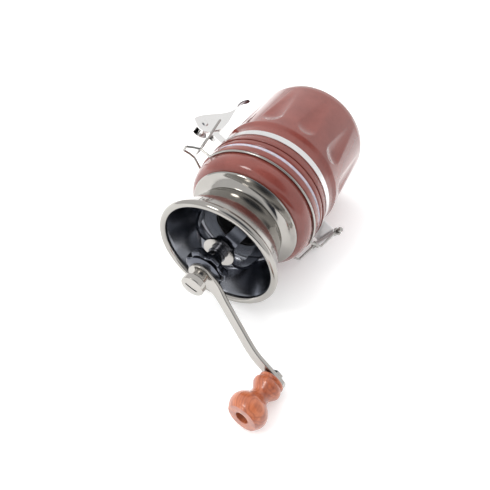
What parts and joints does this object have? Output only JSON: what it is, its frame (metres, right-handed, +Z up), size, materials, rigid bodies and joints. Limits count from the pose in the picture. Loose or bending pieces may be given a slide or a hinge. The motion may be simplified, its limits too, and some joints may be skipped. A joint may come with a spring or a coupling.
{
  "type": "burr coffee grinder",
  "caption": "Hand-crank burr coffee grinder: fluted glazed ceramic jar, clip-top lid on a wire hinge, metal hopper, star adjuster, crank arm and turned wooden knob.",
  "frame": {"origin": "centre of the jar's flat base, on the surface it stands on", "axes": "+Z up along the shaft, -Y towards the latch at the front, +Y towards the hinge at the back, +X to the right when seen from the latch side"},
  "size_m": [0.0902, 0.148, 0.2135],
  "materials": {
    "glaze": "gloss",
    "band_steel": "satin",
    "wire": "polished",
    "latch_steel": "polished",
    "gunmetal": "mirror",
    "spindle_steel": "polished",
    "silicone": "satin",
    "housing_plastic": "matte",
    "burr_ceramic": "matte",
    "bushing_steel": "satin",
    "knob_wood": "lacquered"
  },
  "bodies": {
    "jar": {"jar_base": "glaze", "jar_body": "glaze", "neck_band": "band_steel", "band_rivets": "band_steel", "latch_bracket": "latch_steel", "latch_rivet": "latch_steel", "hinge_bracket": "band_steel", "hinge_pin": "wire"},
    "lid": {"lid_ring": "glaze", "gasket": "silicone", "lid_wire": "wire", "collar": "gunmetal", "hopper": "gunmetal", "bridge": "gunmetal", "hub_washer": "spindle_steel", "upper_bushing": "bushing_steel", "housing_plate": "housing_plastic", "burr_cup": "housing_plastic", "shaft_guide": "housing_plastic", "lower_bushing": "bushing_steel", "outer_burr": "burr_ceramic", "burr_retainer": "spindle_steel", "housing_screws": "spindle_steel"},
    "crank": {"shaft": "spindle_steel", "inner_burr": "burr_ceramic", "burr_nut": "spindle_steel", "burr_spring": "spindle_steel", "thrust_collar": "gunmetal", "lock_plate": "spindle_steel", "crank_arm": "spindle_steel", "cap_nut": "spindle_steel", "knob_screw": "spindle_steel", "knob_nut": "spindle_steel", "knob_washer": "spindle_steel"},
    "adjuster": {"star_nut": "spindle_steel"},
    "grip": {"knob": "knob_wood"},
    "lever": {"latch_lever": "latch_steel"},
    "bail": {"latch_bail": "wire"}
  },
  "joints": [
    {"name": "lid_open", "type": "hinge", "parent": "jar", "child": "lid", "pos_m": [0, 0.0552, 0.0684], "axis": [-1, 0, 0], "range_deg": [0, 100]},
    {"name": "crank_spin", "type": "hinge", "parent": "lid", "child": "crank", "pos_m": [0, 0, 0.159], "axis": [0, 0, 1], "continuous": true},
    {"name": "adjuster_turn", "type": "hinge", "parent": "crank", "child": "adjuster", "pos_m": [0, 0, 0.152], "axis": [0, 0, 1], "range_deg": [-180, 180]},
    {"name": "knob_spin", "type": "hinge", "parent": "crank", "child": "grip", "pos_m": [-0.00372, 0.071, 0.181], "axis": [0.0087, -0.1665, 0.986], "continuous": true},
    {"name": "lever_swing", "type": "hinge", "parent": "jar", "child": "lever", "pos_m": [0, -0.0617, 0.0714], "axis": [-1, 0, 0], "range_deg": [0, 78]},
    {"name": "bail_swing", "type": "hinge", "parent": "lever", "child": "bail", "pos_m": [0, -0.056, 0.061], "axis": [-1, 0, 0], "range_deg": [-78, 0]}
  ],
  "couplings": [
    {"joint": "bail_swing", "follows": "lever_swing", "ratio": -1}
  ]
}
